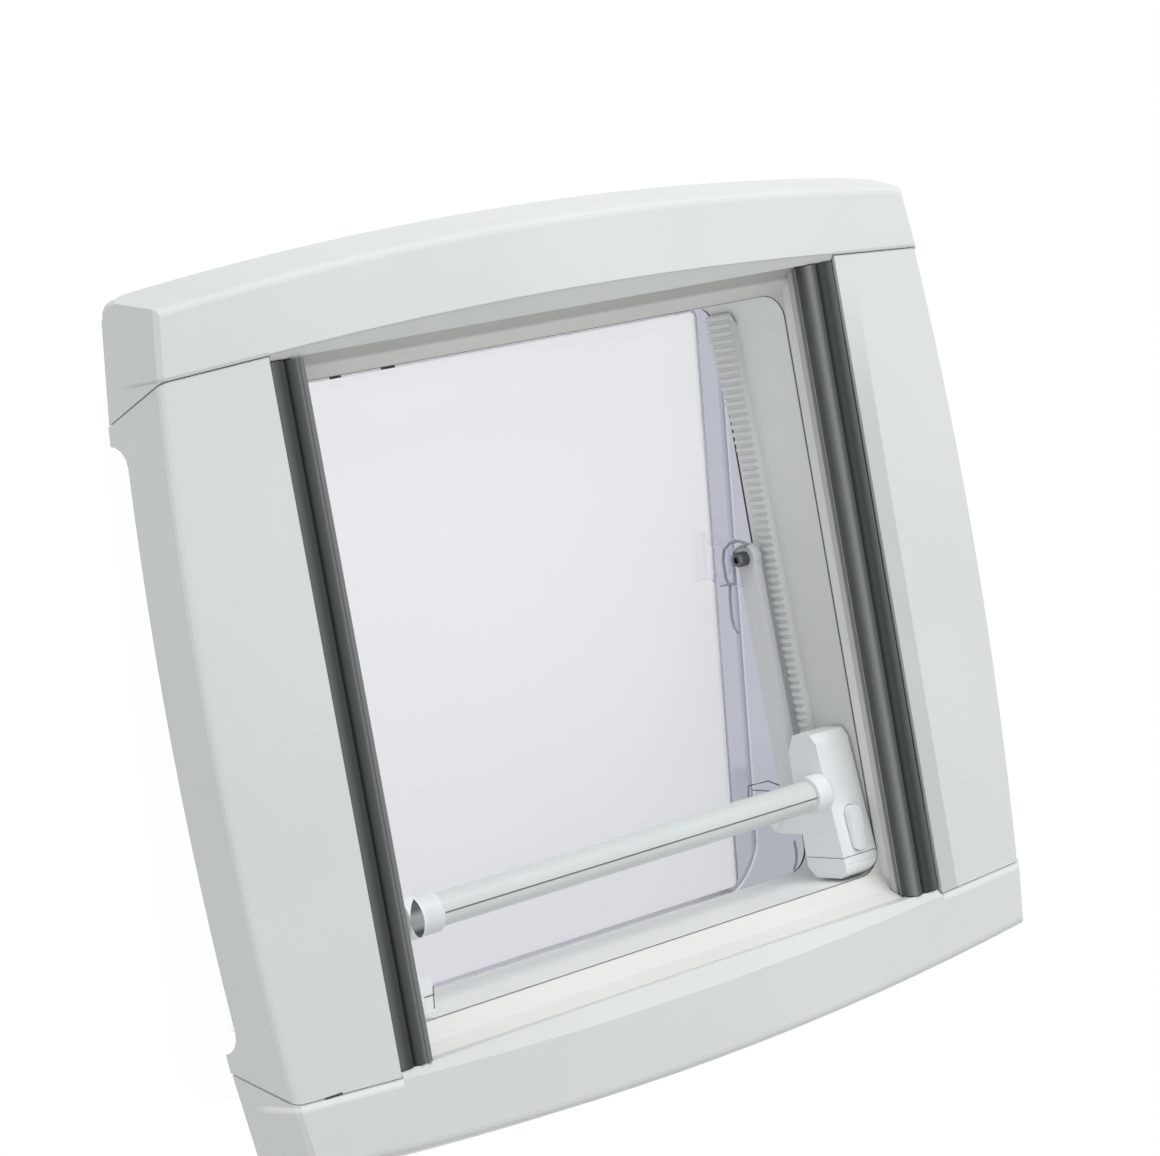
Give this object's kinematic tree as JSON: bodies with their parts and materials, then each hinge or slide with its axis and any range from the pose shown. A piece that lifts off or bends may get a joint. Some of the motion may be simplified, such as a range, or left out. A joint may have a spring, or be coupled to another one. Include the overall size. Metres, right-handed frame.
{
  "type": "roof hatch",
  "caption": "Caravan roof hatch: bowed white inner frame with blind rails, light shaft, and a hinged dome lifted by a handle bar, swivel arms and ridged side racks.",
  "frame": {"origin": "middle of the square roof cut-out, on the outer skin of the roof, where the outer frame's flange seats", "axes": "+Z out of the roof, +Y towards the dome's hinge, +X to the left of somebody who looks up from the room with the hinge side on top"},
  "size_m": [0.5282, 0.4766, 0.2079],
  "materials": {
    "cover_white": "fine satin, very pale grey white",
    "frame_white": "satin, warm white",
    "rail_dark": "satin, anthracite coated",
    "seal_rubber": "matte",
    "hinge_grey": "satin",
    "dome_clear": "clear, moulded",
    "pane_milky": "clear inner pane that looks milky white",
    "bracket_clear": "clear, moulded",
    "tab_white": "smooth"
  },
  "bodies": {
    "frame": {"light_shaft": "frame_white", "roof_flange": "frame_white", "inner_frame": "frame_white", "cassette_cover_hinge_side": "cover_white", "cassette_cover_handle_side": "cover_white", "side_cover_left": "cover_white", "side_cover_right": "cover_white", "guide_rail_left": "rail_dark", "guide_rail_right": "rail_dark", "rack_left": "frame_white", "rack_right": "frame_white", "rim_seal": "seal_rubber", "hinge_base_left": "hinge_grey", "hinge_base_right": "hinge_grey"},
    "dome": {"dome_shell": "dome_clear", "dome_pane": "pane_milky", "hinge_leaf_left": "hinge_grey", "hinge_leaf_right": "hinge_grey", "dome_bracket_left": "bracket_clear", "dome_bracket_right": "bracket_clear", "catch_loop_left": "bracket_clear", "catch_loop_right": "bracket_clear"},
    "arms": {"arm_left": "cover_white", "arm_right": "cover_white"},
    "carriage": {"handle_bar": "cover_white", "slider_housing_left": "cover_white", "slider_housing_right": "cover_white", "bar_socket_left": "cover_white", "bar_socket_right": "cover_white", "release_tab_left": "tab_white", "release_tab_right": "tab_white", "housing_cap_left": "cover_white", "housing_cap_right": "cover_white"}
  },
  "joints": [
    {"name": "dome_hinge", "type": "hinge", "parent": "frame", "child": "dome", "pos_m": [0, 0.205, 0.022], "axis": [-1, 0, 0], "range_deg": [-8.9, 41.1]},
    {"name": "arm_swivel", "type": "hinge", "parent": "dome", "child": "arms", "pos_m": [0, 0.01999, 0.01696], "axis": [-1, 0, 0], "range_deg": [-92, 20]},
    {"name": "carriage_swivel", "type": "hinge", "parent": "arms", "child": "carriage", "pos_m": [0, -0.132, 0.014], "axis": [-1, 0, 0], "range_deg": [-11.1, 51]}
  ],
  "couplings": [
    {"joint": "arm_swivel", "follows": "dome_hinge", "ratio": -2.234},
    {"joint": "carriage_swivel", "follows": "dome_hinge", "ratio": 1.234}
  ]
}
